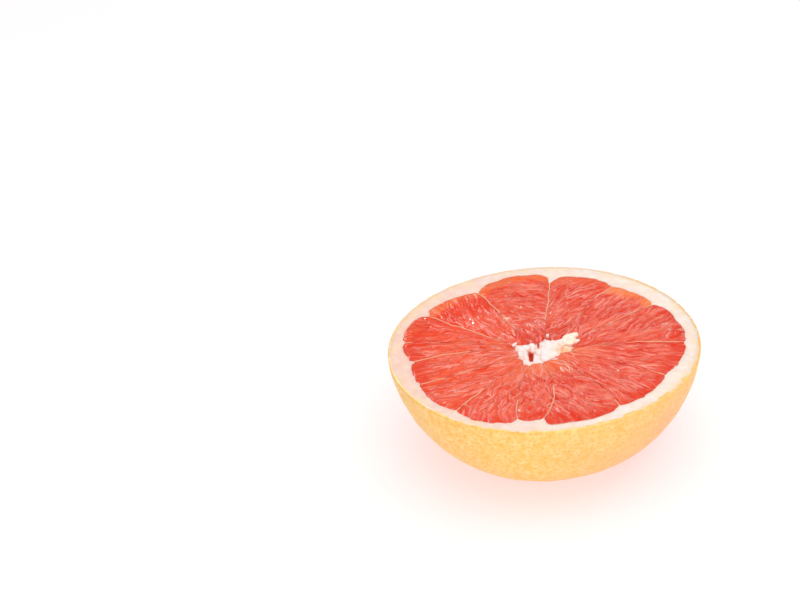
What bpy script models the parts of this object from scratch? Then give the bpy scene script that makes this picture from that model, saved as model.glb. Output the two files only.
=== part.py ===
"""Half a red grapefruit, cut across its middle.

It lies on its rounded side with the cut face level and up, so +Z is up and the origin is at the middle
of the small flat spot that it rests on. Units are metres.
"""
import math

import bmesh
import bpy

# The half fruit: a low bowl, a little flatter underneath and earlier to turn in below the rim than an ellipsoid
RIM_RADIUS = 0.0530
CUT_HEIGHT = 0.0391
RIM_ROUNDING = 3.2
BOTTOM_ROUNDING = 1.5

# Layers of the peel
RIND_THICKNESS = 0.0013
PITH_THICKNESS_BELOW = 0.0062
GAP = 0.0003

# A real fruit is not quite round: (waves round the rim, share of the radius, angle of the first crest).
# The waves are even in number, so the fruit stays centred on its origin.
OUT_OF_ROUND = ((2, 0.004, 20.0), (4, 0.0025, 65.0))

# The underside: a flat ring to rest on, round a shallow dimple with a small dry scar in it
REST_RING_OUTER = 0.0100
REST_RING_INNER = 0.0062
DIMPLE_DEPTH = 0.0009
SCAR_RADIUS = 0.0018
SCAR_HEIGHT = 0.0004

# Membranes, counter-clockwise from +X: the angle and radius where each meets the peel, the angle and radius
# where it meets the core, and how far its middle bows to the left of a straight line outwards
MEMBRANES = (
    (358.4, 0.0470, 349.0, 0.0111, 0.0014),
    (31.5, 0.0443, 17.0, 0.0128, 0.0009),
    (56.4, 0.0443, 36.0, 0.0080, 0.0019),
    (85.5, 0.0414, 85.0, 0.0049, 0.0003),
    (121.4, 0.0425, 163.0, 0.0060, -0.0009),
    (150.5, 0.0446, 169.8, 0.0105, 0.0006),
    (173.4, 0.0471, 183.7, 0.0104, -0.0014),
    (189.0, 0.0440, 193.5, 0.0105, -0.0025),
    (207.4, 0.0461, 218.5, 0.0122, -0.0003),
    (232.2, 0.0480, 238.0, 0.0142, -0.0009),
    (258.1, 0.0453, 248.0, 0.0143, -0.0015),
    (269.2, 0.0437, 268.8, 0.0117, 0.0033),
    (301.9, 0.0455, 294.0, 0.0106, 0.0020),
    (332.0, 0.0449, 334.5, 0.0106, 0.0004),
)
MEMBRANE_THICKNESS = 0.0007

# Segments between one membrane and the next: the radius of the lobe's crest, how far it leans towards the
# next membrane, from -1 to 1, and how deep its middle dips
LOBES = (
    (0.0475, 0.4, 0.0009),
    (0.0453, -0.5, 0.0),
    (0.0460, 0.5, 0.0),
    (0.0478, -0.5, 0.0),
    (0.0467, 0.5, 0.0),
    (0.0481, -0.4, 0.0),
    (0.0468, 0.2, 0.0),
    (0.0460, -0.4, 0.0),
    (0.0482, -0.3, 0.0),
    (0.0487, 0.5, 0.0),
    (0.0456, -0.2, 0.0),
    (0.0483, -0.5, 0.0),
    (0.0467, -0.3, 0.0),
    (0.0474, 0.5, 0.0),
)
LOBE_SHOULDER = 3.0

# How far a segment's rounded inner tip reaches into the core, as a share of its width there
INNER_TIP_SHARE = 0.25

# Cut surface of the flesh: each segment swells a little, and its juice sacs stand up as ridges that run
# outwards and rise and fall along their length
FLESH_SWELL = 0.0005
SAC_RIDGE_HEIGHT = 0.0005
SAC_LENGTH = 0.011

# The core's spongy lumps and torn tufts: x, y, half size along x, half size along y, height above the cut face
CORE_LUMPS = (
    (0.0026, -0.0010, 0.0036, 0.0029, 0.0016),
    (0.0022, -0.0048, 0.0036, 0.0044, 0.0012),
    (0.0004, -0.0082, 0.0022, 0.0028, 0.0006),
    (-0.0078, -0.0045, 0.0019, 0.0046, 0.0006),
    (-0.0042, -0.0112, 0.0028, 0.0013, 0.0004),
    (-0.0037, -0.0008, 0.0013, 0.0018, 0.0013),
    (0.0078, 0.0009, 0.0018, 0.0014, 0.0022),
    (0.0098, 0.0018, 0.0015, 0.0013, 0.0033),
    (-0.0099, -0.0001, 0.0008, 0.0008, 0.0013),
    (0.0015, 0.0046, 0.0007, 0.0007, 0.0014),
)
CORE_SPLIT = (-0.0044, -0.0060)
CORE_SPLIT_HALF_SIZE = (0.0010, 0.0034, 0.0060)

# How finely the surfaces are divided
BOWL_SIDES = 60
BOWL_STEPS = 12
SEGMENT_STEPS_ALONG = 10
DEGREES_PER_FLESH_STEP = 2.6
DEGREES_PER_POCKET_STEP = 3.0
FEWEST_STEPS_ACROSS = 6
SEGMENT_LEVELS = (0.95, 0.80, 0.58, 0.37)
CUTTER_RISE = 0.0060


def clear_scene():
    """Removes every object that the scene holds."""
    for old in list(bpy.data.objects):
        bpy.data.objects.remove(old, do_unlink=True)


def material(name, colour, roughness):
    """A plain Principled material, none of the fruit is metallic."""
    result = bpy.data.materials.new(name)
    result.use_nodes = True
    shader = result.node_tree.nodes["Principled BSDF"]
    shader.inputs["Base Color"].default_value = (*colour, 1.0)
    shader.inputs["Roughness"].default_value = roughness
    shader.inputs["Metallic"].default_value = 0.0
    return result


def add_object(name, bm, finish=None):
    """Puts a finished bmesh into the scene as one named object."""
    mesh = bpy.data.meshes.new(name)
    bmesh.ops.recalc_face_normals(bm, faces=bm.faces)
    bm.to_mesh(mesh)
    bm.free()
    mesh.shade_smooth()
    mesh.set_sharp_from_angle(angle=math.radians(40))
    if finish:
        mesh.materials.append(finish)
    result = bpy.data.objects.new(name, mesh)
    bpy.context.collection.objects.link(result)
    return result


def polar(radius, degrees):
    """The x and y of a point given by its distance from the axis and its direction."""
    turn = math.radians(degrees)
    return radius * math.cos(turn), radius * math.sin(turn)


def roundness(x, y):
    """How far out the fruit's own outline lies in this direction, 1 for a true circle."""
    turn = math.atan2(y, x)
    return 1 + sum(share * math.cos(waves * (turn - math.radians(crest))) for waves, share, crest in OUT_OF_ROUND)


def bowl_depth(share_of_radius, reach):
    """Depth below the cut of a bowl that is reach deep, where it has narrowed to this share of its rim."""
    return reach * (1 - share_of_radius ** RIM_ROUNDING) ** (1 / BOTTOM_ROUNDING)


def underside_rise(radius):
    """How far the dimple lifts the skin, at a distance from the axis."""
    if radius >= REST_RING_INNER:
        return 0.0
    rise = DIMPLE_DEPTH * (1 - (radius / REST_RING_INNER) ** 2)
    return rise - SCAR_HEIGHT if radius < SCAR_RADIUS else rise


def bowl_profile(inset, with_scar):
    """Radius and height of the bowl's outline from the rim to the axis, moved inwards by inset."""
    points = []
    for step in range(BOWL_STEPS):
        lean = math.pi / 2 * step / BOWL_STEPS
        share = math.cos(lean) ** (2 / RIM_ROUNDING)
        points.append((share * (RIM_RADIUS - inset), CUT_HEIGHT - bowl_depth(share, CUT_HEIGHT - inset)))
    points = [(radius, height) for radius, height in points if radius > REST_RING_OUTER * 1.4]
    for radius in (REST_RING_OUTER, REST_RING_INNER, SCAR_RADIUS * 2):
        points.append((radius, inset + underside_rise(radius)))
    if with_scar:
        edge = SCAR_RADIUS * 1.15
        points.append((edge, inset + underside_rise(edge)))
        points.append((SCAR_RADIUS * 0.95, inset + underside_rise(SCAR_RADIUS * 0.95)))
    centre_radius = 0.0 if with_scar else SCAR_RADIUS
    points.append((0.0, inset + underside_rise(centre_radius)))
    return points


def spin_outline(bm, points):
    """Turns an outline of radius and height about the fruit's axis and gives it the fruit's roundness."""
    corners = [bm.verts.new((radius, 0.0, height)) for radius, height in points]
    edges = [bm.edges.new(pair) for pair in zip(corners, corners[1:])]
    bmesh.ops.spin(bm, geom=corners + edges, cent=(0, 0, 0), axis=(0, 0, 1), angle=math.tau,
                   steps=BOWL_SIDES, use_merge=True)
    bmesh.ops.remove_doubles(bm, verts=bm.verts, dist=0.00001)
    for corner in bm.verts:
        stretch = roundness(corner.co.x, corner.co.y)
        corner.co.x *= stretch
        corner.co.y *= stretch


def make_rind(finish):
    """The coloured outer skin: an open bowl of even thickness with a flat rim."""
    bm = bmesh.new()
    outside = bowl_profile(0.0, True)
    inside = bowl_profile(RIND_THICKNESS, False)
    spin_outline(bm, list(reversed(outside)) + inside)
    return add_object("rind", bm, finish)


def membrane_point(membrane, run, shift):
    """A point on a membrane, run 0 at the core and 1 at the peel, moved to its left by shift."""
    outer_angle, outer_radius, inner_angle, inner_radius, bow = membrane
    start_x, start_y = polar(inner_radius, inner_angle)
    end_x, end_y = polar(outer_radius, outer_angle)
    along_x, along_y = end_x - start_x, end_y - start_y
    length = math.hypot(along_x, along_y)
    aside = shift + 4 * bow * run * (1 - run)
    return (start_x + along_x * run - along_y / length * aside,
            start_y + along_y * run + along_x / length * aside)


def lobe_radius(index, across):
    """Radius of a segment's outer edge, across from -1 at its own membrane to 1 at the next."""
    crest, lean, dip = LOBES[index]
    near_notch = MEMBRANES[index][1]
    far_notch = MEMBRANES[(index + 1) % len(MEMBRANES)][1]
    base = near_notch + (far_notch - near_notch) * (across + 1) / 2
    crest_base = near_notch + (far_notch - near_notch) * (lean + 1) / 2
    side = (across - lean) / (1 + lean if across < lean else 1 - lean)
    dent = dip * math.exp(-(across / 0.3) ** 2)
    return base + (crest - crest_base) * (1 - abs(side) ** LOBE_SHOULDER) - dent


def segment_place(index, across, outwards, level, clearance):
    """The x and y of a point of a segment.

    across runs from -1 to 1 between its membranes, and outwards from 0 at its rounded inner tip to 1. level
    is the share of its outer radius that is left at that depth, and clearance draws every side in.
    """
    own = MEMBRANES[index]
    following = MEMBRANES[(index + 1) % len(MEMBRANES)]
    shift = MEMBRANE_THICKNESS / 2 + clearance
    blend = (across + 1) / 2

    def point_at(run):
        own_x, own_y = membrane_point(own, run, shift)
        next_x, next_y = membrane_point(following, run, -shift)
        return own_x + (next_x - own_x) * blend, own_y + (next_y - own_y) * blend

    start_x, start_y = point_at(0.0)
    end_x, end_y = point_at(1.0)
    way_x, way_y = end_x - start_x, end_y - start_y
    reach = (lobe_radius(index, across) - clearance) * level
    square = way_x ** 2 + way_y ** 2
    half = start_x * way_x + start_y * way_y
    longest = (math.sqrt(half ** 2 - square * (start_x ** 2 + start_y ** 2 - reach ** 2)) - half) / square
    own_x, own_y = membrane_point(own, 0.0, shift)
    next_x, next_y = membrane_point(following, 0.0, -shift)
    tip = INNER_TIP_SHARE * math.hypot(next_x - own_x, next_y - own_y)
    first = (clearance - tip * (1 - across ** 2)) / math.sqrt(square)
    x, y = point_at(first + (longest - first) * outwards)
    stretch = roundness(x, y)
    return x * stretch, y * stretch


def flesh_relief(index, across, outwards, column):
    """Height of the cut flesh above the cut plane: nothing at its edges, a low swell and ridges inside."""
    fade = (1 - across ** 6) * min(1.0, 6 * outwards) * min(1.0, 6 * (1 - outwards))
    ridge = 1 if column % 2 else -1
    bead = math.sin(math.tau * (outwards * RIM_RADIUS / SAC_LENGTH + 0.37 * index) + 1.9 * column)
    height = SAC_RIDGE_HEIGHT * (0.2 + 0.8 * outwards)
    return fade * (FLESH_SWELL + height * ridge * (0.7 + 0.5 * bead))


def wedge(index, clearance, is_cutter):
    """A segment of flesh, or the cutter for the pocket that it lies in."""
    width = (MEMBRANES[(index + 1) % len(MEMBRANES)][0] - MEMBRANES[index][0]) % 360
    degrees_per_step = DEGREES_PER_POCKET_STEP if is_cutter else DEGREES_PER_FLESH_STEP
    steps_across = max(FEWEST_STEPS_ACROSS, round(width / degrees_per_step))
    bowl_reach = CUT_HEIGHT - PITH_THICKNESS_BELOW - RIND_THICKNESS
    bm = bmesh.new()
    across_layer = bm.verts.layers.float.new("across")
    outwards_layer = bm.verts.layers.float.new("outwards")
    bmesh.ops.create_grid(bm, x_segments=steps_across, y_segments=SEGMENT_STEPS_ALONG, size=1.0)
    for corner in bm.verts:
        across = math.sin(corner.co.x * math.pi / 2)
        outwards = (corner.co.y + 1) / 2
        corner[across_layer] = across
        corner[outwards_layer] = outwards
        x, y = segment_place(index, across, outwards, 1.0, clearance)
        column = round((corner.co.x + 1) / 2 * steps_across)
        rise = CUTTER_RISE if is_cutter else flesh_relief(index, across, outwards, column)
        corner.co = (x, y, CUT_HEIGHT + rise)
    levels = ((1.0,) if is_cutter else ()) + SEGMENT_LEVELS
    for level in levels:
        depth = bowl_depth(level, bowl_reach)
        rim = [edge for edge in bm.edges if edge.is_boundary]
        grown = bmesh.ops.extrude_edge_only(bm, edges=rim)["geom"]
        for corner in grown:
            if isinstance(corner, bmesh.types.BMVert):
                x, y = segment_place(index, corner[across_layer], corner[outwards_layer], level, clearance)
                corner.co = (x, y, CUT_HEIGHT - depth + clearance * depth / bowl_reach)
    rim = [edge for edge in bm.edges if edge.is_boundary]
    bmesh.ops.contextual_create(bm, geom=rim)
    return bm


def make_segment(index, finish):
    """One segment of red flesh."""
    return add_object(f"segment_{index + 1:02d}", wedge(index, GAP, False), finish)


def helper(name, bm, collection):
    """Adds a shape that only cuts or joins, and keeps it out of the finished fruit."""
    result = add_object(name, bm)
    bpy.context.collection.objects.unlink(result)
    collection.objects.link(result)
    result.hide_render = True
    result.display_type = "WIRE"
    return result


def make_lump(index, collection):
    """A rounded lump of the core's spongy tissue, rooted well below the cut face."""
    x, y, half_x, half_y, height = CORE_LUMPS[index]
    root = min(half_x, half_y)
    bm = bmesh.new()
    bmesh.ops.create_icosphere(bm, subdivisions=2, radius=1.0)
    for corner in bm.verts:
        wave = 1 + 0.10 * math.sin(5 * corner.co.x + 1.7 * index) * math.cos(4 * corner.co.y + index)
        corner.co = (x + corner.co.x * half_x * wave,
                     y + corner.co.y * half_y * wave,
                     CUT_HEIGHT - root + corner.co.z * (root + height))
    helper(f"lump_{index + 1}", bm, collection)


def make_split(collection):
    """The hollow where the core has come apart."""
    bm = bmesh.new()
    bmesh.ops.create_uvsphere(bm, u_segments=10, v_segments=6, radius=1.0)
    half_x, half_y, half_z = CORE_SPLIT_HALF_SIZE
    for corner in bm.verts:
        corner.co = (CORE_SPLIT[0] + corner.co.x * half_x,
                     CORE_SPLIT[1] + corner.co.y * half_y,
                     CUT_HEIGHT + corner.co.z * half_z)
    helper("core_split", bm, collection)


def make_pith(finish):
    """The white part: inner peel, membranes and core, with a pocket for each segment."""
    joined = bpy.data.collections.new("joined to the core")
    cut_away = bpy.data.collections.new("cut out of the pith")
    bpy.context.scene.collection.children.link(joined)
    bpy.context.scene.collection.children.link(cut_away)
    for index in range(len(CORE_LUMPS)):
        make_lump(index, joined)
    make_split(cut_away)
    for index in range(len(LOBES)):
        helper(f"pocket_{index + 1:02d}", wedge(index, 0.0, True), cut_away)
    bm = bmesh.new()
    spin_outline(bm, bowl_profile(RIND_THICKNESS + GAP, False))
    bmesh.ops.contextual_create(bm, geom=[edge for edge in bm.edges if edge.is_boundary])
    result = add_object("pith", bm, finish)
    for name, operation, collection in (("Lumps", "UNION", joined), ("Pockets", "DIFFERENCE", cut_away)):
        modifier = result.modifiers.new(name, "BOOLEAN")
        modifier.operation = operation
        modifier.operand_type = "COLLECTION"
        modifier.collection = collection
        modifier.solver = "EXACT"
    return result


clear_scene()
rind_finish = material("rind", (0.93, 0.55, 0.17), 0.42)
pith_finish = material("pith", (0.95, 0.85, 0.76), 0.75)
flesh_finish = material("flesh", (0.74, 0.10, 0.06), 0.25)
make_rind(rind_finish)
make_pith(pith_finish)
for number in range(len(LOBES)):
    make_segment(number, flesh_finish)
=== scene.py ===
"""Looks of a red grapefruit half, cut across its middle and lying on its rounded side.

Units are metres. +Z is up, and the origin is at the middle of the flat spot that the half rests on.
"""

import math

import bmesh
import bpy
import numpy as np
from mathutils import Matrix, Vector
from mathutils.kdtree import KDTree


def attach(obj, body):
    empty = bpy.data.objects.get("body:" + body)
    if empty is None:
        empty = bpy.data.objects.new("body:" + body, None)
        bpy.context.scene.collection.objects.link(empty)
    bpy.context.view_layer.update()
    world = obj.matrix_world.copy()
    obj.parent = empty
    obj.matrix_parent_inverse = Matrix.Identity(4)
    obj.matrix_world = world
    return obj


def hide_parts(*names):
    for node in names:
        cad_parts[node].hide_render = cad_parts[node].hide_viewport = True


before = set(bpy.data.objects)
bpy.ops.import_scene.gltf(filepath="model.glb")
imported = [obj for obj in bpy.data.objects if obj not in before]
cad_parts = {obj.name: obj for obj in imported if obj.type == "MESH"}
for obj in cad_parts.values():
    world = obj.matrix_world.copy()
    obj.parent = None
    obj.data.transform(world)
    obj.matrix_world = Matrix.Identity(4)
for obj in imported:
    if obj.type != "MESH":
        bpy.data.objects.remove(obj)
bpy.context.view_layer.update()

# The photograph: its size, the pixel that shows the middle of the cut face, and how the camera stands to it
PICTURE_WIDTH = 800
PICTURE_HEIGHT = 600
CUT_MIDDLE_PIXEL = (543.56, 345.15)
CAMERA_ELEVATION = 32.09
CAMERA_ROLL = 2.37
CAMERA_DISTANCE = 0.848
FOCAL_LENGTH_PIXELS = 2499.8
SENSOR_WIDTH = 36.0

# The half fruit, as it is made in part.py
RIM_RADIUS = 0.0530
CUT_HEIGHT = 0.0391
RIM_ROUNDING = 3.2
BOTTOM_ROUNDING = 1.5
RIND_THICKNESS = 0.0013
PITH_THICKNESS_BELOW = 0.0062
OUT_OF_ROUND = ((2, 0.004, 20.0), (4, 0.0025, 65.0))
REST_RING_OUTER = 0.0100
REST_RING_INNER = 0.0062
DIMPLE_DEPTH = 0.0009
SCAR_RADIUS = 0.0018
SCAR_HEIGHT = 0.0004

# Membranes, counter-clockwise from +X: the angle and radius where each meets the peel, the angle and radius
# where it meets the core, how far its middle bows to the left of a straight line outwards, and how clearly
# it shows as a pale line on the cut face
MEMBRANES = (
    (358.4, 0.0470, 349.0, 0.0111, 0.0014, 0.7),
    (31.5, 0.0443, 17.0, 0.0128, 0.0009, 0.62),
    (56.4, 0.0443, 36.0, 0.0080, 0.0019, 0.5),
    (85.5, 0.0414, 85.0, 0.0049, 0.0003, 0.8),
    (121.4, 0.0425, 163.0, 0.0060, -0.0009, 0.75),
    (150.5, 0.0446, 169.8, 0.0105, 0.0006, 1.3),
    (173.4, 0.0471, 183.7, 0.0104, -0.0014, 0.3),
    (189.0, 0.0440, 193.5, 0.0105, -0.0025, 0.7),
    (207.4, 0.0461, 218.5, 0.0122, -0.0003, 0.5),
    (232.2, 0.0480, 238.0, 0.0142, -0.0009, 0.6),
    (258.1, 0.0453, 248.0, 0.0143, -0.0015, 0.7),
    (269.2, 0.0437, 268.8, 0.0117, 0.0033, 1.0),
    (301.9, 0.0455, 294.0, 0.0106, 0.0020, 0.3),
    (332.0, 0.0449, 334.5, 0.0106, 0.0004, 0.3),
)

# How thick a membrane is, and the gap that the flesh keeps to it
MEMBRANE_THICKNESS = 0.00030
FLESH_CLEARANCE = 0.00002

# How far a membrane waves to each side, and how far its wave turns on the way outwards, in radians
MEMBRANE_WAVE = 0.00018
MEMBRANE_TURN = 11

# Size of the stretches where a membrane shows more or less, and the share of the way outwards past which it
# always shows more
MEMBRANE_PATCH = 0.0045
NOTCH_START = 0.91

# Where a membrane is out of sight it lies this far down, and the flesh closes over it
MEMBRANE_SINK = 0.0009
FLESH_LIP = 0.00038

# Segments between one membrane and the next: the radius of the lobe's crest, how far it leans towards the
# next membrane, and how deep its middle dips
LOBES = (
    (0.0475, 0.4, 0.0009),
    (0.0453, -0.5, 0.0),
    (0.0460, 0.5, 0.0),
    (0.0478, -0.5, 0.0),
    (0.0467, 0.5, 0.0),
    (0.0481, -0.4, 0.0),
    (0.0468, 0.2, 0.0),
    (0.0460, -0.4, 0.0),
    (0.0482, -0.3, 0.0),
    (0.0487, 0.5, 0.0),
    (0.0456, -0.2, 0.0),
    (0.0483, -0.5, 0.0),
    (0.0467, -0.3, 0.0),
    (0.0474, 0.5, 0.0),
)

# How square a lobe's shoulders are, how wide its dip is as a share of its half width, and how far a
# segment's tip at the core bulges as a share of its width there
LOBE_SHOULDER = 3.0
LOBE_DIP_WIDTH = 0.3
INNER_TIP_SHARE = 0.25

# About how long a segment is, the shares of its outer radius that are left at its rings from the cut down,
# and how far down the first ring lies
SEGMENT_LENGTH = 0.037
SEGMENT_LEVELS = (1.0, 0.95, 0.80, 0.58, 0.37)
FIRST_RING_DROP = 0.0008

# Juice sacs: slim bags that lie side by side. For each segment: how far they turn from the way outwards, at
# the core and at the peel, how long they are against their width, how long the smooth end at the peel is,
# how orange that end is, and how the tip at the core looks, from -1 for painted shade cast by the raised
# core to 1 for orange
SAC_LAY = (
    (8.0, 20.0, 6.0, 0.0020, 0.0, 0.0),
    (10.0, 2.0, 6.0, 0.0050, 1.0, 0.0),
    (-20.0, -28.0, 4.5, 0.0050, 0.35, -0.8),
    (22.0, 75.0, 3.5, 0.0070, 0.55, -1.0),
    (-8.0, -20.0, 5.5, 0.0140, 0.60, 0.0),
    (6.0, 14.0, 6.5, 0.0095, 0.2, 0.2),
    (0.0, 0.0, 6.5, 0.0080, 0.0, 0.2),
    (2.0, -6.0, 6.5, 0.0065, 0.0, 0.3),
    (-4.0, -18.0, 6.0, 0.0040, 0.0, 0.3),
    (0.0, 6.0, 3.5, 0.0050, 0.0, 0.5),
    (0.0, 10.0, 2.2, 0.0075, 0.0, 1.0),
    (12.0, 48.0, 5.0, 0.0060, 0.0, 0.8),
    (2.0, 15.0, 6.5, 0.0050, 0.0, 0.5),
    (0.0, 4.0, 6.5, 0.0055, 0.0, 0.8),
)

# How wide a sac is, how many are tried in each segment, and how near two may lie as a share of their size
SAC_WIDTH = 0.0021
SAC_TRIES = 3200
SAC_SPACING = 0.78

# The round, dark sac in the first segment: its x, y, direction, half length and half width. Then how far it
# bulges, its tone, and the place and strength of its painted highlight streak
ROUND_SAC_SEGMENT = 0
ROUND_SAC = (0.0442, 0.0031, 75.0, 0.0040, 0.0030)
ROUND_SAC_LOOKS = (1.1, -1.0, 0.72, 1.5)

# How far the sacs' sides bend and ripple, each with the size of one wave
SAC_BEND = 0.00055
SAC_BEND_SIZE = 0.0036
SAC_RIPPLE = 0.00022
SAC_RIPPLE_SIZE = 0.0013

# How high a sac bulges against its half width, the widest half width that this goes by, how far from its
# wall it is at its full height, and how wide the pale wall looks
SAC_BULGE = 0.55
SAC_BULGE_WIDEST = 0.0016
SAC_SHOULDER = 0.0006
SAC_WALL = 0.00024

# The edge of a segment's cut face: how wide its shoulder is, and how deep and wide the groove round it is
FLESH_SHOULDER = 0.0013
FLESH_GROOVE_DEPTH = 0.00016
FLESH_GROOVE_WIDTH = 0.00040

# How softly a segment's smooth end, its orange end and its tip at the core fade, how long the last two are,
# and how far the edges wander, with the size of one wave
SMOOTH_END_FADE = 0.0035
SMOOTH_END_WANDER = (0.0022, 0.0045)
ORANGE_END_LENGTH = 0.0055
ORANGE_END_FADE = 0.0045
ORANGE_END_WANDER = (0.002, 0.004)
CORE_TIP_LENGTH = 0.013
CORE_TIP_FADE = 0.012

# How far the lines on the cut face wander, in waves of two sizes, and between which radii
EDGE_WANDER = 0.00032
EDGE_WANDER_SIZE = 0.0026
EDGE_WANDER_FINE_SIZE = 0.0011
EDGE_WANDER_START = 0.011
EDGE_WANDER_END = 0.0505

# How finely a segment's cut face is divided
FLESH_STEP = 0.00022

# Fine unevenness of each surface, in layers: how deep, the size of its lumps, and its seed
FLESH_UNEVENNESS = ((0.00025, 0.0055, 21), (0.00005, 0.0009, 22))
PITH_UNEVENNESS = ((0.00012, 0.0024, 31), (0.00008, 0.0008, 32))
CORE_UNEVENNESS = ((0.00020, 0.0016, 41), (0.00010, 0.0006, 42))
TUFT_UNEVENNESS = ((0.00020, 0.0012, 51), (0.00010, 0.0005, 52))
SKIN_UNEVENNESS = ((0.00012, 0.0060, 61), (0.00006, 0.0017, 62))

# The core's spongy lumps and torn tufts: x, y, height of the middle above the cut face, and half size along
# x, y and z
CORE_LUMPS = (
    (0.0016, -0.0008, 0.0000, 0.0024, 0.0028, 0.0018),
    (0.0042, -0.0009, 0.0000, 0.0022, 0.0026, 0.0017),
    (0.0010, -0.0042, -0.0005, 0.0029, 0.0036, 0.0020),
    (0.0036, -0.0044, -0.0007, 0.0026, 0.0034, 0.0019),
    (0.0004, -0.0078, -0.0012, 0.0024, 0.0034, 0.0019),
    (0.0024, -0.0066, -0.0010, 0.0019, 0.0024, 0.0017),
    (0.0056, -0.0016, -0.0003, 0.0014, 0.0023, 0.0015),
    (-0.0075, -0.0016, -0.0006, 0.0017, 0.0022, 0.0013),
    (-0.0078, -0.0048, -0.0008, 0.0018, 0.0030, 0.0012),
    (-0.0076, -0.0082, -0.0010, 0.0018, 0.0022, 0.0012),
    (-0.0093, -0.0022, -0.0006, 0.0012, 0.0008, 0.0008),
    (-0.0053, -0.0113, -0.0010, 0.0018, 0.0017, 0.0013),
    (-0.0026, -0.0110, -0.0012, 0.0024, 0.0012, 0.0014),
    (-0.0040, -0.0010, -0.0002, 0.0017, 0.0015, 0.0017),
    (-0.0036, -0.0028, -0.0008, 0.0013, 0.0013, 0.0013),
    (-0.0058, -0.0014, -0.0006, 0.0012, 0.0018, 0.0015),
    (-0.0018, -0.0040, -0.0010, 0.0015, 0.0030, 0.0016),
    (-0.0100, -0.0003, 0.0006, 0.0010, 0.0009, 0.0009),
    (-0.0093, 0.0003, 0.0011, 0.0007, 0.0006, 0.0007),
    (0.0015, 0.0049, 0.0005, 0.0008, 0.0008, 0.0011),
    (0.0068, 0.0004, 0.0004, 0.0020, 0.0016, 0.0016),
    (0.0083, 0.0015, 0.0012, 0.0021, 0.0017, 0.0017),
    (0.0100, 0.0022, 0.0017, 0.0018, 0.0016, 0.0015),
    (0.0112, 0.0024, 0.0020, 0.0010, 0.0013, 0.0011),
    (0.0090, -0.0006, 0.0005, 0.0014, 0.0011, 0.0011),
    (0.0106, -0.0003, 0.0009, 0.0014, 0.0010, 0.0011),
    (0.0117, 0.0001, 0.0011, 0.0009, 0.0008, 0.0009),
    (0.0043, -0.0090, -0.0004, 0.0006, 0.0008, 0.0007),
)

# How finely the lumps are grown together, and how far the uneven surfaces of the core and the peel lie in
CORE_GRAIN = 0.00020
CORE_SETTLING = 0.00020
PITH_SETTLING = 0.00006

# Where the core has come apart: x, y, half size along x and y, and depth
CORE_HOLLOWS = (
    (-0.0044, -0.0058, 0.0010, 0.0036, 0.0036),
    (-0.0018, 0.0004, 0.0005, 0.0026, 0.0012),
)

# The line in the middle of the core, along X, that its rows of points are drawn in to
CORE_SPINE_HALF_LENGTH = 0.0063
CORE_SPINE_Y = -0.0030
CORE_HALF_WIDTH = 0.0070

# The creamy, loose tissue on one side of the core: x, y and radius
LOOSE_TISSUE = (0.0078, -0.0050, 0.0047)

# How finely the peel is divided
PITH_STEPS_PER_SEGMENT = 50
PITH_CORE_ROWS = 30
PITH_POCKET_ROWS = 60
PITH_RING_ROWS = 20
PITH_POCKET_END = PITH_CORE_ROWS + PITH_POCKET_ROWS
PITH_LAST_ROW = PITH_POCKET_END + PITH_RING_ROWS
PITH_OUTER_ROWS = 8
SKIN_OUTLINE_POINTS = 400
SKIN_SUBDIVISIONS = 8
RIM_ROWS = 4
RIND_INNER_ROWS = 10

# How wide the flesh stains the pith round it
FLESH_STAIN_WIDTH = 0.00045

# The skin's oil glands: how many places are tried, how far apart they are, how near two may be as a share
# of that, their size and their depth
GLAND_TRIES = 26000
GLAND_SPACING = 0.0017
GLAND_NEAREST = 0.8
GLAND_RADIUS = 0.00040
GLAND_DEPTH = 0.00012

# The rim of the skin: how far down it is blunted, by how much at least and by how much more in places, and
# the size of those places. Then the size of the orange teeth along its cut edge
RIM_BLUNT_HEIGHT = 0.0007
RIM_BLUNT = 0.00018
RIM_RAGGED = 0.00030
RIM_RAGGED_SIZE = 0.0013
RIM_TOOTH_SIZE = 0.0008

# Colours of the flesh: the darker and the paler sacs, which also paint shade and light on the two sides of
# each sac, clear spots, the tips at the core, the dark one being painted shade from the raised core,
# painted orange light reflected onto the left side, the smooth and the orange ends, and the walls of the
# sacs, also used for painted highlight streaks
SAC_DARK_AND_SHADED = (0.650, 0.015, 0.003)
SAC_PALE_AND_LIT = (0.860, 0.212, 0.135)
CLEAR_SPOT = (0.70, 0.030, 0.003)
ORANGE_TIP = (0.92, 0.240, 0.080)
CORE_SHADOW_TIP = (0.62, 0.020, 0.010)
LEFT_REFLECTED_ORANGE = (0.84, 0.085, 0.012)
BACK_LEFT_RED = (0.83, 0.030, 0.0005)
SMOOTH_END_RED = (0.74, 0.028, 0.001)
END_ORANGE = (0.97, 0.255, 0.080)
SAC_WALL_AND_HIGHLIGHT_PINK = (0.91, 0.46, 0.40)

# Colours of the pith: its patches on the pink and on the white side, its stains, the core and its tufts,
# the loose tissue, hidden and clear membranes, painted warm shade in creases and on steep walls, and the
# red bottoms of hollows
PINK_PITH = ((0.78, 0.49, 0.40), (0.83, 0.58, 0.49))
WHITE_PITH = ((0.79, 0.64, 0.55), (0.85, 0.75, 0.68))
CREAM_STAIN = (0.85, 0.66, 0.44)
FLESH_STAIN = (0.93, 0.42, 0.30)
RIND_STAIN = (0.90, 0.62, 0.34)
RIND_EDGE = (0.91, 0.52, 0.11)
CORE_WHITE = (0.87, 0.735, 0.70)
TUFT_CREAM = (0.89, 0.77, 0.64)
LOOSE_ORANGE = (0.96, 0.44, 0.20)
MEMBRANE_HIDDEN = (0.76, 0.060, 0.030)
MEMBRANE_CLEAR = (0.94, 0.41, 0.25)
WARM_CREASE_SHADE = (0.94, 0.50, 0.37)
HOLLOW_BOTTOM = (0.84, 0.10, 0.04)

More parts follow.
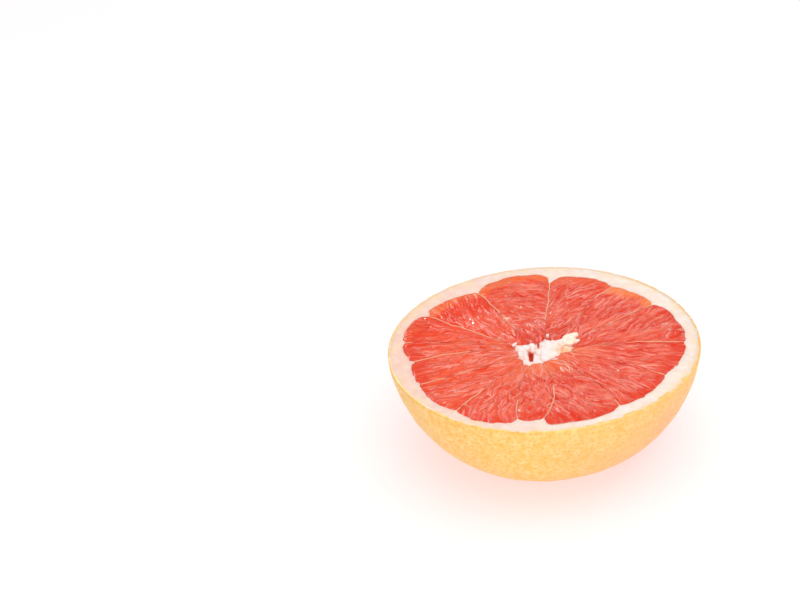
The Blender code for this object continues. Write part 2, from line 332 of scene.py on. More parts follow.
# Colours of the skin
SKIN_YELLOW = (0.88, 0.50, 0.070)
SKIN_PALE = (0.92, 0.66, 0.25)
SKIN_BLUSH = (0.91, 0.45, 0.20)
GLAND_ORANGE = (0.90, 0.36, 0.05)
FAR_RIM_ORANGE = (0.87, 0.42, 0.07)

# The floor, and the place that the lights face
FLOOR_HALF_SIZE = 4.0
LIGHT_TARGET = (0.0, 0.0, 0.02)

# How many cells the table of random values has each way, and from which angle on an edge is drawn sharp
NOISE_CELLS = 32
SHARP_ANGLE = 62


def polar(radius, degrees):
    """The x and y of a point given by its distance from the axis and its direction."""
    turn = np.radians(degrees)
    return radius * np.cos(turn), radius * np.sin(turn)


def smooth(share):
    """Eases from 0 to 1."""
    share = np.clip(share, 0.0, 1.0)
    return share * share * (3 - 2 * share)


def soft_noise(places, size, seed):
    """Smooth random values from about -1 to 1, in lumps of this size."""
    table = np.random.default_rng(seed).uniform(-1, 1, (NOISE_CELLS, NOISE_CELLS, NOISE_CELLS))
    scaled = places / size
    cell = np.floor(scaled).astype(int)
    part = smooth(scaled - cell)
    total = np.zeros(len(places))
    for step in range(8):
        corner = np.array((step & 1, step >> 1 & 1, step >> 2 & 1))
        weight = np.prod(np.where(corner, part, 1 - part), axis=1)
        pick = (cell + corner) % NOISE_CELLS
        total += weight * table[pick[:, 0], pick[:, 1], pick[:, 2]]
    return total


def unevenness(places, layers):
    """The sum of several layers of soft noise, each with its depth, size and seed."""
    return sum(deep * soft_noise(places, size, seed) for deep, size, seed in layers)


def flattened(x, y):
    """Places on the cut plane, for noise that is the same all the way down."""
    return np.column_stack((x, y, np.zeros(len(x))))


def roundness(x, y):
    """How far out the fruit's own outline lies in this direction, 1 for a true circle."""
    turn = np.arctan2(y, x)
    return 1 + sum(share * np.cos(waves * (turn - math.radians(crest)))
                   for waves, share, crest in OUT_OF_ROUND)


def bowl_depth(share_of_radius, reach):
    """Depth below the cut of a bowl that is reach deep, where it has narrowed to this share of its rim."""
    return reach * (1 - share_of_radius ** RIM_ROUNDING) ** (1 / BOTTOM_ROUNDING)


def narrowing(turn):
    """How far a bowl has narrowed, where turn runs from 0 at its rim to a quarter turn at its bottom."""
    return np.cos(turn) ** (2 / RIM_ROUNDING)


def membrane_point(membrane, run, shift):
    """A point on a membrane, run 0 at the core and 1 at the peel, moved to its left by shift."""
    outer_angle, outer_radius, inner_angle, inner_radius, bow, _ = membrane
    start_x, start_y = polar(inner_radius, inner_angle)
    end_x, end_y = polar(outer_radius, outer_angle)
    along_x, along_y = end_x - start_x, end_y - start_y
    length = math.hypot(along_x, along_y)
    wave = MEMBRANE_WAVE * np.sin(MEMBRANE_TURN * run + outer_angle) * 4 * np.clip(run * (1 - run), 0, 1)
    aside = shift + wave + 4 * bow * run * (1 - run)
    x = start_x + along_x * run - along_y / length * aside
    y = start_y + along_y * run + along_x / length * aside
    return x, y


def lobe_radius(index, across):
    """Radius of a segment's outer edge, across from -1 at its own membrane to 1 at the next."""
    crest, lean, dip = LOBES[index]
    near_notch = MEMBRANES[index][1]
    far_notch = MEMBRANES[(index + 1) % len(MEMBRANES)][1]
    base = near_notch + (far_notch - near_notch) * (across + 1) / 2
    crest_base = near_notch + (far_notch - near_notch) * (lean + 1) / 2
    side = (across - lean) / np.where(across < lean, 1 + lean, 1 - lean)
    dent = dip * np.exp(-(across / LOBE_DIP_WIDTH) ** 2)
    return base + (crest - crest_base) * (1 - np.abs(side) ** LOBE_SHOULDER) - dent


def segment_place(index, across, outwards, level, clearance):
    """The x and y of points of a segment.

    across runs from -1 to 1 between its membranes, and outwards from 0 at its rounded inner tip to 1. level
    is the share of its outer radius that is left at that depth, and clearance draws every side in.
    """
    own = MEMBRANES[index]
    following = MEMBRANES[(index + 1) % len(MEMBRANES)]
    shift = MEMBRANE_THICKNESS / 2 + clearance
    blend = (across + 1) / 2

    def point_at(run):
        own_x, own_y = membrane_point(own, run, shift)
        next_x, next_y = membrane_point(following, run, -shift)
        return own_x + (next_x - own_x) * blend, own_y + (next_y - own_y) * blend

    start_x, start_y = point_at(0.0)
    end_x, end_y = point_at(1.0)
    way_x, way_y = end_x - start_x, end_y - start_y
    reach = (lobe_radius(index, across) - clearance) * level
    square = way_x ** 2 + way_y ** 2
    half = start_x * way_x + start_y * way_y
    longest = (np.sqrt(half ** 2 - square * (start_x ** 2 + start_y ** 2 - reach ** 2)) - half) / square
    own_x, own_y = membrane_point(own, 0.0, shift)
    next_x, next_y = membrane_point(following, 0.0, -shift)
    tip = INNER_TIP_SHARE * np.hypot(next_x - own_x, next_y - own_y)
    first = (clearance - tip * (1 - across ** 2)) / np.sqrt(square)
    x, y = point_at(first + (longest - first) * outwards)
    stretch = roundness(x, y)
    return x * stretch, y * stretch


def side_distance(index, across, outwards, level):
    """How far places of a segment lie from the nearer of its two membranes."""
    left_x, left_y = segment_place(index, np.full(len(across), -1.0), outwards, level, 0.0)
    right_x, right_y = segment_place(index, np.full(len(across), 1.0), outwards, level, 0.0)
    half_width = np.hypot(right_x - left_x, right_y - left_y) / 2
    return (1 - np.abs(across)) * half_width


def membrane_shows(index, across, outwards, x, y):
    """How clearly the nearer membrane shows on the cut face at places of a segment, from 0 to 1."""
    membrane = np.where(across > 0, (index + 1) % len(MEMBRANES), index)
    clearness = np.array([line[5] for line in MEMBRANES])[membrane]
    patches = 0.35 * soft_noise(flattened(x, y), MEMBRANE_PATCH, 34)
    shows = clearness * (0.25 + smooth(outwards * 1.2)) + patches
    shows = shows + 0.6 * smooth((outwards - NOTCH_START) / 0.06)
    return smooth((shows - 0.25) / 0.55)


def covering(shows):
    """How far the flesh closes over a membrane that shows this clearly."""
    return smooth((0.62 - shows) / 0.3)


def wander(places):
    """Moves places on the cut face a little, so that no line on it is drawn too cleanly."""
    radius = np.hypot(places[:, 0], places[:, 1])
    flat = places * np.array((1.0, 1.0, 0.0))
    past_core = smooth((radius - EDGE_WANDER_START) / 0.004)
    inside_rim = smooth((EDGE_WANDER_END - radius) / 0.002)
    amount = EDGE_WANDER * past_core * inside_rim
    moved = places.copy()
    for axis, seed in ((0, 71), (1, 73)):
        broad = soft_noise(flat, EDGE_WANDER_SIZE, seed)
        fine = soft_noise(flat, EDGE_WANDER_FINE_SIZE, seed + 1)
        moved[:, axis] += amount * (broad + 0.1 * fine)
    return moved


def segment_depth(level, clearance):
    """How deep below the cut face a segment has narrowed to this level."""
    bowl_reach = CUT_HEIGHT - PITH_THICKNESS_BELOW - RIND_THICKNESS
    depth = bowl_depth(level, bowl_reach)
    return depth - clearance * depth / bowl_reach


def read_places(mesh):
    """The mesh's vertices as an array of x, y and z."""
    places = np.empty(len(mesh.vertices) * 3)
    mesh.vertices.foreach_get("co", places)
    return places.reshape(-1, 3)


def write_places(mesh, places):
    """Moves the mesh's vertices."""
    mesh.vertices.foreach_set("co", places.ravel())
    mesh.update()


def write_values(mesh, name, values):
    """Keeps one value, or one vector, for each vertex under this name, for the material to read."""
    kind, field = ("FLOAT", "value") if values.ndim == 1 else ("FLOAT_VECTOR", "vector")
    mesh.attributes.new(name, kind, "POINT").data.foreach_set(field, values.astype(np.float32).ravel())


def mesh_from(name, bm):
    """Closes off a bmesh as a mesh with smooth faces that point outwards."""
    bmesh.ops.recalc_face_normals(bm, faces=bm.faces)
    mesh = bpy.data.meshes.new(name)
    bm.to_mesh(mesh)
    bm.free()
    mesh.shade_smooth()
    return mesh


def sharpen_corners(mesh):
    """Keeps the corner between a cut face and a wall sharp, where smooth shading would darken it."""
    mesh.set_sharp_from_angle(angle=math.radians(SHARP_ANGLE))


def add_piece(name, mesh, finish, slot, *nodes):
    """Adds a finished piece of the fruit, and hides the CAD nodes that it stands for."""
    piece = bpy.data.objects.new(name, mesh)
    bpy.context.scene.collection.objects.link(piece)
    mesh.materials.append(finish)
    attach(piece, "root")
    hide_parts(*nodes)
    return piece


def boundary(bm):
    """The open edges of a surface that isn't closed yet."""
    return [edge for edge in bm.edges if edge.is_boundary]


def grow_rings(bm, edges, count, step):
    """Extends open edges by this many rings, each moved by step, and returns the last ring's edges."""
    for _ in range(count):
        grown = bmesh.ops.extrude_edge_only(bm, edges=edges)["geom"]
        corners = [item for item in grown if isinstance(item, bmesh.types.BMVert)]
        bmesh.ops.translate(bm, verts=corners, vec=step)
        edges = [item for item in grown if isinstance(item, bmesh.types.BMEdge) and item.is_boundary]
    return edges


def close_ring(bm, edges, place):
    """Draws a ring of open edges together in one point."""
    corners = list({corner for edge in edges for corner in edge.verts})
    bmesh.ops.pointmerge(bm, verts=corners, merge_co=place)


def lay_sacs(index):
    """The juice sacs that the cut crosses: the middle, direction, half length and half width of each."""
    core_turn, peel_turn, slimness = SAC_LAY[index][:3]
    random = np.random.default_rng(100 + index)
    across = random.uniform(-1.0, 1.0, SAC_TRIES)
    outwards = np.sqrt(random.uniform(0.0, 1.15, SAC_TRIES))
    turn = core_turn + (peel_turn - core_turn) * smooth(outwards)
    turn += random.normal(0.0, 7.0 + 30.0 / slimness, SAC_TRIES)
    width = SAC_WIDTH / 2 * (0.6 + 0.4 * outwards) * random.uniform(0.7, 1.35, SAC_TRIES)
    length = width * slimness * random.uniform(0.7, 1.3, SAC_TRIES)
    x, y = segment_place(index, across, outwards, 1.0, 0.0)
    ahead_x, ahead_y = segment_place(index, across, outwards + 0.01, 1.0, 0.0)
    angle = np.arctan2(ahead_y - y, ahead_x - x) + np.radians(turn)
    sacs = np.column_stack((x, y, np.cos(angle), np.sin(angle), length, width))
    kept = sacs[:1]
    if index == ROUND_SAC_SEGMENT:
        spot_x, spot_y, way, half_length, half_width = ROUND_SAC
        kept = np.array([(spot_x, spot_y, *polar(1.0, way), half_length, half_width)])
    for sac in sacs[1:]:
        aside = sac[:2] - kept[:, :2]
        far = np.hypot((aside[:, 0] * kept[:, 2] + aside[:, 1] * kept[:, 3]) / (kept[:, 4] + sac[4]),
                       (aside[:, 1] * kept[:, 2] - aside[:, 0] * kept[:, 3]) / (kept[:, 5] + sac[5]))
        if far.min() > SAC_SPACING:
            kept = np.vstack((kept, sac))
    return kept


def sac_looks(index, sacs):
    """How each sac of a segment looks: its bulge, tone, the side painted lit, and its painted highlight
    streak's place and strength.
    """
    random = np.random.default_rng(300 + index)
    count = len(sacs)
    full = random.random(count) < 0.8
    bulge = np.where(full, random.uniform(0.35, 1.15, count), random.uniform(-0.5, 0.1, count))
    tone = random.uniform(-1.0, 1.0, count)
    # Painted light and shade: most sacs are lighter on their side towards the back and darker on the front
    # side
    lit_side = np.where(random.random(count) < 0.7, 1.0, -1.0) * np.sign(sacs[:, 2])
    highlight_side = random.uniform(0.35, 0.75, count) * lit_side
    highlight_strength = random.uniform(0.0, 1.0, count) ** 1.3
    if index == ROUND_SAC_SEGMENT:
        bulge[0], tone[0], highlight_side[0], highlight_strength[0] = ROUND_SAC_LOOKS
    return bulge, tone, lit_side, highlight_side, highlight_strength


def sac_pattern(index, sacs, places):
    """For places on a segment's cut face: how they lie to the two nearest juice sacs.

    Gives each place's distance to the wall between the two, the numbers of both, and its place along and
    across the nearer one, as shares of that sac's size.
    """
    flat = np.column_stack((places, np.full(len(places), 0.01 * index)))
    bent = []
    for axis, seed in ((0, 11), (1, 13)):
        bend = SAC_BEND * soft_noise(flat, SAC_BEND_SIZE, seed)
        ripple = SAC_RIPPLE * soft_noise(flat, SAC_RIPPLE_SIZE, seed + 1)
        bent.append(places[:, axis] + bend + ripple)
    aside_x = bent[0][:, None] - sacs[None, :, 0]
    aside_y = bent[1][:, None] - sacs[None, :, 1]
    along = (aside_x * sacs[:, 2] + aside_y * sacs[:, 3]) / sacs[:, 4]
    sideways = (aside_y * sacs[:, 2] - aside_x * sacs[:, 3]) / sacs[:, 5]
    far = np.hypot(along, sideways)
    pair = np.argpartition(far, 1, axis=1)[:, :2]
    rows = np.arange(len(places))
    wrong_order = far[rows, pair[:, 0]] > far[rows, pair[:, 1]]
    nearest = np.where(wrong_order, pair[:, 1], pair[:, 0])
    second = np.where(wrong_order, pair[:, 0], pair[:, 1])

    def slope(pick):
        reach = np.maximum(far[rows, pick], 0.05)
        ahead = along[rows, pick] / sacs[pick, 4] / reach
        beside = sideways[rows, pick] / sacs[pick, 5] / reach
        return (ahead * sacs[pick, 2] - beside * sacs[pick, 3],
                ahead * sacs[pick, 3] + beside * sacs[pick, 2])

    near_x, near_y = slope(nearest)
    next_x, next_y = slope(second)
    steepness = np.maximum(np.hypot(next_x - near_x, next_y - near_y), 200.0)
    to_wall = (far[rows, second] - far[rows, nearest]) / steepness
    return to_wall, nearest, second, along[rows, nearest], sideways[rows, nearest]


def segment_mesh(index):
    """A segment's mesh before it is shaped: a fine flat top, a ring for each level below, and a bottom."""
    corner_x, corner_y = segment_place(index, np.array((-1.0, 1.0)), np.array((0.85, 0.85)), 1.0, 0.0)
    widest = math.hypot(corner_x[1] - corner_x[0], corner_y[1] - corner_y[0])
    steps_across = max(40, round(1.35 * widest / FLESH_STEP))
    steps_outwards = round(SEGMENT_LENGTH / FLESH_STEP)
    bm = bmesh.new()
    bmesh.ops.create_grid(bm, x_segments=steps_across, y_segments=steps_outwards, size=1.0)
    last = grow_rings(bm, boundary(bm), len(SEGMENT_LEVELS), (0, 0, -1))
    bmesh.ops.contextual_create(bm, geom=last)
    return mesh_from(f"flesh_{index + 1:02d}", bm)


def make_flesh(index, finish):
    """One segment of red flesh, its cut face packed with juice sacs."""
    mesh = segment_mesh(index)
    spot = read_places(mesh)
    across = np.sin(-spot[:, 0] * math.pi / 2)
    outwards = (spot[:, 1] + 1) / 2
    ring = np.rint(-spot[:, 2]).astype(int)
    level = np.array((1.0,) + SEGMENT_LEVELS)[ring]
    top = ring == 0
    from_tip = outwards * SEGMENT_LENGTH
    from_peel = (1 - outwards) * SEGMENT_LENGTH
    from_side = side_distance(index, across, outwards, level)
    from_edge = np.minimum(np.minimum(from_side, from_tip), from_peel)

    # The outline, with lips that close over the membranes that are out of sight
    x, y = segment_place(index, across, outwards, level, FLESH_CLEARANCE)
    covered = covering(membrane_shows(index, across, outwards, x, y))
    lip = FLESH_LIP * covered * smooth((np.abs(across) - 0.6) / 0.4)
    ends = np.maximum(smooth((0.003 - from_tip) / 0.002), smooth((0.002 - from_peel) / 0.001))
    lip = np.maximum(lip, FLESH_LIP * ends)
    drawn_in = np.where(top, FLESH_CLEARANCE - lip, FLESH_CLEARANCE)
    x, y = segment_place(index, across, outwards, level, drawn_in)
    depth = segment_depth(level, FLESH_CLEARANCE) + np.where(ring == 1, FIRST_RING_DROP, 0.0)

    # The relief of the sacs, which is lower near the segment's edge and on its smooth end
    flat = np.column_stack((x, y, np.full(len(x), 0.02 * index)))
    sacs = lay_sacs(index)
    to_wall, nearest, second, along, sideways = sac_pattern(index, sacs, flat[:, :2])
    bulge, tone, lit_side, highlight_side, highlight_strength = sac_looks(index, sacs)
    smooth_length, orange_end, core_tip_shade_and_orange = SAC_LAY[index][3:]
    far = np.hypot(along, sideways)
    dome = np.sqrt(np.clip(1.25 - far ** 2, 0.02, 1.0)) * (0.25 + 0.75 * smooth(to_wall / SAC_SHOULDER))
    closed = covered * smooth(from_peel / 0.002) * smooth(from_tip / 0.003)
    inner = np.maximum(smooth(from_edge / FLESH_SHOULDER), 0.75 * closed)
    wandering, size = SMOOTH_END_WANDER
    smooth_length = smooth_length + wandering * soft_noise(flat, size, 23)
    smooth_end = smooth((smooth_length - from_peel) / SMOOTH_END_FADE)
    plump = (0.55 + 0.45 * smooth(outwards / 0.5)) * (1 - 0.70 * smooth_end)
    half_width = np.minimum(sacs[nearest, 5], SAC_BULGE_WIDEST)
    rise = SAC_BULGE * half_width * plump * bulge[nearest] * dome * inner
    rise += sum(deep * inner * soft_noise(flat, size, seed) for deep, size, seed in FLESH_UNEVENNESS)
    rise -= FLESH_GROOVE_DEPTH * np.exp(-from_edge / FLESH_GROOVE_WIDTH) * (1 - closed)
    write_places(mesh, wander(np.column_stack((x, y, CUT_HEIGHT - depth + np.where(top, rise, 0.0)))))
    sharpen_corners(mesh)

    # What the material reads: pale walls, painted highlight streaks, painted light and shade on the two
    # sides of each sac, and both ends
    wall_number = (np.minimum(nearest, second) * 37 + np.maximum(nearest, second) * 91) % 101 / 101
    wall = np.exp(-(to_wall / SAC_WALL) ** 2) * smooth((wall_number - 0.30) * 2.0)
    # Painted highlight: a pale streak along each sac, on its lit side
    wavy = sideways - highlight_side[nearest] + 0.25 * soft_noise(flat, 0.0016, 24)
    highlight_streak = np.exp(-(wavy / 0.22) ** 2) * np.clip(1.1 - along ** 2, 0, 1)
    pale = np.maximum(0.9 * wall, highlight_streak * highlight_strength[nearest])
    pale *= 0.80 + 0.50 * soft_noise(flat, 0.0030, 25)
    # Painted light and shade: the lit side of each sac lighter and the other side darker, less so on the
    # smooth end
    lit = 0.55 * np.clip(sideways * lit_side[nearest], -1, 1)
    shade = 0.45 * tone[nearest] + lit * (1 - 0.6 * smooth_end)
    wandering, size = ORANGE_END_WANDER
    orange_length = ORANGE_END_LENGTH + wandering * soft_noise(flat, size, 26)
    along_sac = along * sacs[nearest, 4] * 1000
    across_sac = sideways * sacs[nearest, 5] * 1000
    write_values(mesh, "pale", np.where(top, pale * (1 - 0.50 * smooth_end), 0.0))
    write_values(mesh, "shade", np.where(top, shade, 0.0))
    write_values(mesh, "smooth_end", smooth_end)
    write_values(mesh, "orange_end", orange_end * smooth((orange_length - from_peel) / ORANGE_END_FADE))
    # Tips at the core: painted shade from the raised core below 0, orange above
    write_values(mesh, "core_tip_shade_and_orange", core_tip_shade_and_orange * smooth((CORE_TIP_LENGTH - from_tip) / CORE_TIP_FADE))
    write_values(mesh, "flow", np.column_stack((along_sac, across_sac, 7.0 * nearest + 1000.0 * index)))
    return add_piece(f"flesh_{index + 1:02d}", mesh, finish, "flesh", f"segment_{index + 1:02d}")


def pith_columns():
    """The pith's columns in order round the fruit: the segment each belongs to and its place across it."""
    spread = np.sin(np.linspace(-math.pi / 2, math.pi / 2, PITH_STEPS_PER_SEGMENT + 1))
    owner = np.repeat(np.arange(len(LOBES)), PITH_STEPS_PER_SEGMENT + 1)
    return owner, np.tile(spread, len(LOBES))


def core_relief(x, y):
    """Height of the core's own surface next to the flesh: a little uneven, with the hollows in it."""
    places = flattened(x, y)
    height = unevenness(places, CORE_UNEVENNESS) - CORE_SETTLING
    ragged = 1 + 0.25 * soft_noise(places, 0.0012, 43)
    for middle_x, middle_y, half_x, half_y, deep in CORE_HOLLOWS:
        away = np.hypot((x - middle_x) / half_x, (y - middle_y) / half_y) / ragged
        height = height - deep * np.sqrt(np.clip(1 - away ** 2, 0, 1))
    return height


def looseness(x, y):
    """How loose and creamy the core's tissue is at a place, from 0 to 1."""
    middle_x, middle_y, reach = LOOSE_TISSUE
    away = np.hypot(x - middle_x, y - middle_y) / reach + 0.3 * soft_noise(flattened(x, y), 0.0015, 44)
    return smooth((1.15 - away) / 0.5)


def yellow_edge(x, y, from_skin):
    """How far the skin's yellow shows on the cut face, in a ragged band, widest at the front right."""
    turn = np.arctan2(y, x)
    places = flattened(x, y)
    front = np.exp(-((turn + math.radians(90)) / 0.7) ** 2)
    front_right = np.exp(-((turn + math.radians(45)) / 0.5) ** 2)
    width = 0.0008 + 0.0001 * front + 0.0011 * front_right
    ragged = 0.00045 * soft_noise(places, 0.0012, 45) + 0.0004 * soft_noise(places, 0.0035, 46)
    width = width + ragged * (1 + 0.6 * front_right)
    return smooth((width - from_skin) / 0.0007 + 0.5)


def pith_mesh(columns):
    """The pith's mesh before it is shaped: a flat disc with a pocket sunk for each segment, closed below.

    A vertex's distance from the axis gives its row, its direction its column, and its depth its ring.
    """
    bm = bmesh.new()
    bmesh.ops.create_grid(bm, x_segments=columns, y_segments=PITH_LAST_ROW, size=1.0)
    for corner in bm.verts:
        turn = (corner.co.x + 1) * math.pi
        ring_radius = 1 + (corner.co.y + 1) / 2 * PITH_LAST_ROW
        corner.co = (ring_radius * math.cos(turn), ring_radius * math.sin(turn), 0.0)
    bmesh.ops.remove_doubles(bm, verts=bm.verts, dist=0.0001)
    pockets = []
    for face in bm.faces:
        middle = face.calc_center_median()
        row = math.hypot(middle.x, middle.y) - 1
        column = math.atan2(middle.y, middle.x) / math.tau * columns % columns
        in_segment = column % (PITH_STEPS_PER_SEGMENT + 1) < PITH_STEPS_PER_SEGMENT
        if in_segment and PITH_CORE_ROWS < row < PITH_POCKET_END:
            pockets.append(face)
    bmesh.ops.delete(bm, geom=pockets, context="FACES")
    centre = [edge for edge in boundary(bm) if all(corner.co.length < 1.5 for corner in edge.verts)]
    close_ring(bm, centre, (0, 0, 0))
    outermost = PITH_LAST_ROW + 0.5
    rim = [edge for edge in boundary(bm) if all(corner.co.xy.length > outermost for corner in edge.verts)]
    rim_edges = set(rim)
    walls = [edge for edge in boundary(bm) if edge not in rim_edges]
    floors = grow_rings(bm, walls, len(SEGMENT_LEVELS), (0, 0, -1))
    bmesh.ops.contextual_create(bm, geom=floors)
    under = grow_rings(bm, rim, PITH_OUTER_ROWS, (0, 0, -1))
    close_ring(bm, under, (0, 0, -PITH_OUTER_ROWS - 1))
    return mesh_from("pith", bm)


def make_pith(finish):
    """The white inner peel, the membranes and the core's own surface, with a pocket for each segment."""
    owner, across = pith_columns()
    columns = len(owner)
    mesh = pith_mesh(columns)
    spot = read_places(mesh)
    row = np.rint(np.hypot(spot[:, 0], spot[:, 1]) - 1).astype(int)
    column = np.rint(np.arctan2(spot[:, 1], spot[:, 0]) / math.tau * columns).astype(int) % columns
    ring = np.rint(-spot[:, 2]).astype(int)
    owner = owner[column]
    across = across[column]
    pole = row < 0
    outer = (row == PITH_LAST_ROW) & (ring > 0)
    inside = CUT_HEIGHT - RIND_THICKNESS

    # The pockets, and the core's rows drawn in to its middle line
    level = np.array((1.0,) + SEGMENT_LEVELS)[np.where(outer | pole, 0, ring)]
    x = np.empty(len(spot))
    y = np.empty(len(spot))
    outwards = np.clip((row - PITH_CORE_ROWS) / PITH_POCKET_ROWS, 0.0, 1.0)
    for index in range(len(LOBES)):
        mine = owner == index
        x[mine], y[mine] = segment_place(index, across[mine], outwards[mine], level[mine], 0.0)
    core_share = np.clip((row + 1) / (PITH_CORE_ROWS + 1), 0.0, 1.0)
    spine = CORE_SPINE_HALF_LENGTH * np.clip(x / CORE_HALF_WIDTH, -1, 1) * smooth(core_share / 0.4)
    x = np.where(row < PITH_CORE_ROWS, spine + (x - spine) * core_share, x)
    y = np.where(row < PITH_CORE_ROWS, CORE_SPINE_Y + (y - CORE_SPINE_Y) * core_share, y)

    # The ring of peel from the lobes out to the rind, and the bowl under it
    ring_share = np.clip((row - PITH_POCKET_END) / PITH_RING_ROWS, 0.0, 1.0)
    turn = np.arctan2(y, x)
    rim_radius = (RIM_RADIUS - RIND_THICKNESS) * roundness(x, y)
    lobe_edge = np.hypot(x, y)
    radius = lobe_edge + (rim_radius - lobe_edge) * ring_share
    depth = segment_depth(level, 0.0)
    shrink = narrowing(np.clip(ring / (PITH_OUTER_ROWS + 1), 0, 1) * math.pi / 2)
    radius = np.where(outer, rim_radius * shrink, radius)
    depth = np.where(outer, bowl_depth(shrink, inside), depth)
    x = np.where(pole, 0.0, radius * np.cos(turn))
    y = np.where(pole, np.where(ring > 0, 0.0, CORE_SPINE_Y), radius * np.sin(turn))
    depth = np.where(pole & (ring > 0), inside - DIMPLE_DEPTH, depth)

    # The relief: a hollowed core, spongy peel, and membranes that sink where they are out of sight
    top = ring == 0
    in_core = top & (row <= PITH_CORE_ROWS)
    in_ring = top & (row >= PITH_POCKET_END)
    on_membrane = (row > PITH_CORE_ROWS) & (row < PITH_POCKET_END)
    relief = np.where(in_core, core_relief(x, y), 0.0)
    spongy = unevenness(flattened(x, y), PITH_UNEVENNESS) - PITH_SETTLING
    relief += np.where(in_ring, spongy * smooth((1 - ring_share) * 5), 0.0)
    shows = np.ones(len(x))
    for index in range(len(LOBES)):
        mine = owner == index
        shows[mine] = membrane_shows(index, across[mine], outwards[mine], x[mine], y[mine])
    shows = np.where(on_membrane, shows, 1.0)
    relief += np.where(top & on_membrane, -MEMBRANE_SINK * covering(shows), 0.0)
    past_lobe = np.where(row >= PITH_POCKET_END, np.hypot(x, y) - lobe_edge, 1.0)
    from_skin = RIM_RADIUS * roundness(x, y) - radius
    write_places(mesh, wander(np.column_stack((x, y, CUT_HEIGHT - depth + relief))))
    sharpen_corners(mesh)

    write_values(mesh, "clear", shows)
    write_values(mesh, "membrane", on_membrane.astype(float))
    write_values(mesh, "flesh_tint", np.where(top, np.exp(-past_lobe / FLESH_STAIN_WIDTH), 0.0))
    write_values(mesh, "core", in_core.astype(float))
    write_values(mesh, "yellow", np.where(top, yellow_edge(x, y, from_skin), 0.0))
    write_values(mesh, "from_rind", (rim_radius - radius) * 1000)
    write_values(mesh, "loose", np.where(in_core, looseness(x, y), 0.0))
    # How far the core lies below the cut, which the material paints as warm shade in shallow creases and
    # red deeper down
    write_values(mesh, "hollow_and_shade", np.where(in_core, np.clip(-relief / 0.003, 0, 1), 0.0))
    return add_piece("pith", mesh, finish, "pith", "pith")


def lumps_mesh():
    """The core's lumps and tufts as separate, slightly wavy balls."""
    bm = bmesh.new()
    for index, (x, y, middle, half_x, half_y, half_z) in enumerate(CORE_LUMPS):
        for corner in bmesh.ops.create_icosphere(bm, subdivisions=3, radius=1.0)["verts"]:
            wave = 1 + 0.10 * math.sin(5 * corner.co.x + 1.7 * index) * math.cos(4 * corner.co.y + index)
            corner.co = (x + corner.co.x * half_x * wave,
                         y + corner.co.y * half_y * wave,
                         CUT_HEIGHT + middle + corner.co.z * half_z)
    return mesh_from("core", bm)


def make_core(finish):
    """The core's torn spongy lumps and tufts, grown together as one."""
    lumps = bpy.data.objects.new("core lumps", lumps_mesh())
    bpy.context.scene.collection.objects.link(lumps)
    remesh = lumps.modifiers.new("Grown together", "REMESH")
    remesh.mode = "VOXEL"
    remesh.voxel_size = CORE_GRAIN
    shown = lumps.evaluated_get(bpy.context.evaluated_depsgraph_get())
    grown = bpy.data.meshes.new_from_object(shown)
    bpy.data.objects.remove(lumps)
    grown.name = "core"
    grown.shade_smooth()

    places = read_places(grown)
    out = np.empty(len(places) * 3)
    grown.vertices.foreach_get("normal", out)
    out = out.reshape(-1, 3)
    push = unevenness(places, TUFT_UNEVENNESS) - CORE_SETTLING
    write_places(grown, places + out * push[:, None])
    # Painted warm shade: the steep sides of the tufts and their parts low near the cut, reddest lowest
    steep = 0.22 * smooth((0.60 - out[:, 2]) / 0.5)
    low = np.clip((CUT_HEIGHT + 0.0006 - places[:, 2]) / 0.0025, 0, 1)
    for name, value in (("clear", 1.0), ("membrane", 0.0), ("yellow", 0.0), ("flesh_tint", 0.0),
                        ("core", 1.0), ("from_rind", 40.0)):
        write_values(grown, name, np.full(len(places), value))
    write_values(grown, "loose", looseness(places[:, 0], places[:, 1]))
    write_values(grown, "hollow_and_shade", np.maximum(steep, low))
    return add_piece("core", grown, finish, "pith", "pith")


def underside_rise(radius):
    """How far the dimple lifts the skin, at a distance from the axis."""
    rise = DIMPLE_DEPTH * (1 - np.clip(radius / REST_RING_INNER, 0, 1) ** 2)
    return rise - SCAR_HEIGHT * smooth((SCAR_RADIUS * 1.15 - radius) / (SCAR_RADIUS * 0.2))


def skin_outline():
    """The skin's outline from the middle of its underside to its rim: radius, height, area share so far."""
    share = narrowing(np.linspace(math.pi / 2, 0, SKIN_OUTLINE_POINTS))
    radius = share * RIM_RADIUS
    height = CUT_HEIGHT - bowl_depth(share, CUT_HEIGHT)
    height *= smooth((radius - REST_RING_OUTER) / (REST_RING_OUTER * 0.4))
    height += underside_rise(radius)
    length = np.hypot(np.diff(radius), np.diff(height))
    area = np.concatenate(((0.0,), np.cumsum(length * (radius[1:] + radius[:-1]) / 2)))
    return radius, height, area / area[-1]


def find_glands(radius, height, area):
    """Middles of the skin's oil glands, spread evenly but not in rows."""
    random = np.random.default_rng(7)
    share = random.random(GLAND_TRIES)
    turn = random.uniform(0, math.tau, GLAND_TRIES)
    spot_radius = np.interp(share, area, radius)
    spot_height = np.interp(share, area, height)
    tries = np.column_stack((spot_radius * np.cos(turn), spot_radius * np.sin(turn), spot_height))
    around = [(dx, dy, dz) for dx in (-1, 0, 1) for dy in (-1, 0, 1) for dz in (-1, 0, 1)]
    cells = {}
    kept = []
    for place in tries.tolist():
        cell = [math.floor(part / GLAND_SPACING) for part in place]
        near = []
        for dx, dy, dz in around:
            near += cells.get((cell[0] + dx, cell[1] + dy, cell[2] + dz), [])
        if all(math.dist(place, other) > GLAND_NEAREST * GLAND_SPACING for other in near):
            cells.setdefault(tuple(cell), []).append(place)
            kept.append(place)
    return kept


